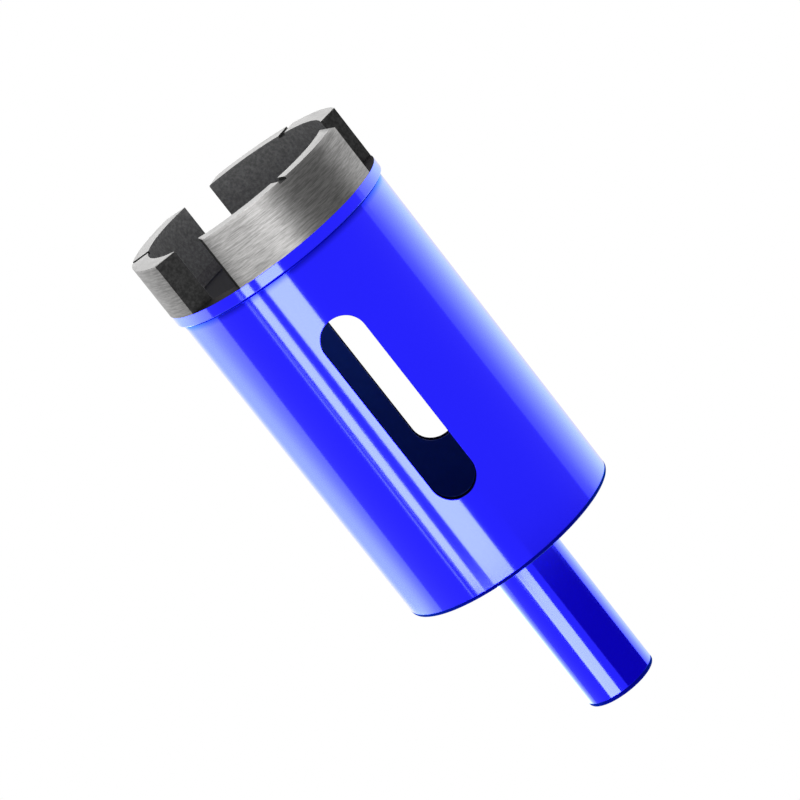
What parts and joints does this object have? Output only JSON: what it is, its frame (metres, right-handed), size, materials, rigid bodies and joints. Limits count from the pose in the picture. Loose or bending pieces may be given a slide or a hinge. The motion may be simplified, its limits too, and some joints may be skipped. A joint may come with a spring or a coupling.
{
  "type": "diamond core bit",
  "caption": "Hollow core bit with a slotted diamond crown, a windowed painted barrel and a plain round shank for a drill chuck.",
  "frame": {"origin": "centre of the crown's cutting plane, on the axis of the bit", "axes": "+Z along the axis from the cutting plane to the shank, -Y through the front window"},
  "size_m": [0.032, 0.032, 0.0815],
  "materials": {
    "sintered_segment": "ground, with fine lines round the wall and dark sawn ends",
    "blue_paint": "high-gloss enamel"
  },
  "bodies": {
    "root": {"diamond_segment_1": "sintered_segment", "diamond_segment_2": "sintered_segment", "diamond_segment_3": "sintered_segment", "segment_ring": "blue_paint", "barrel_tube": "blue_paint", "back_plate": "blue_paint", "shank": "blue_paint"}
  },
  "joints": []
}
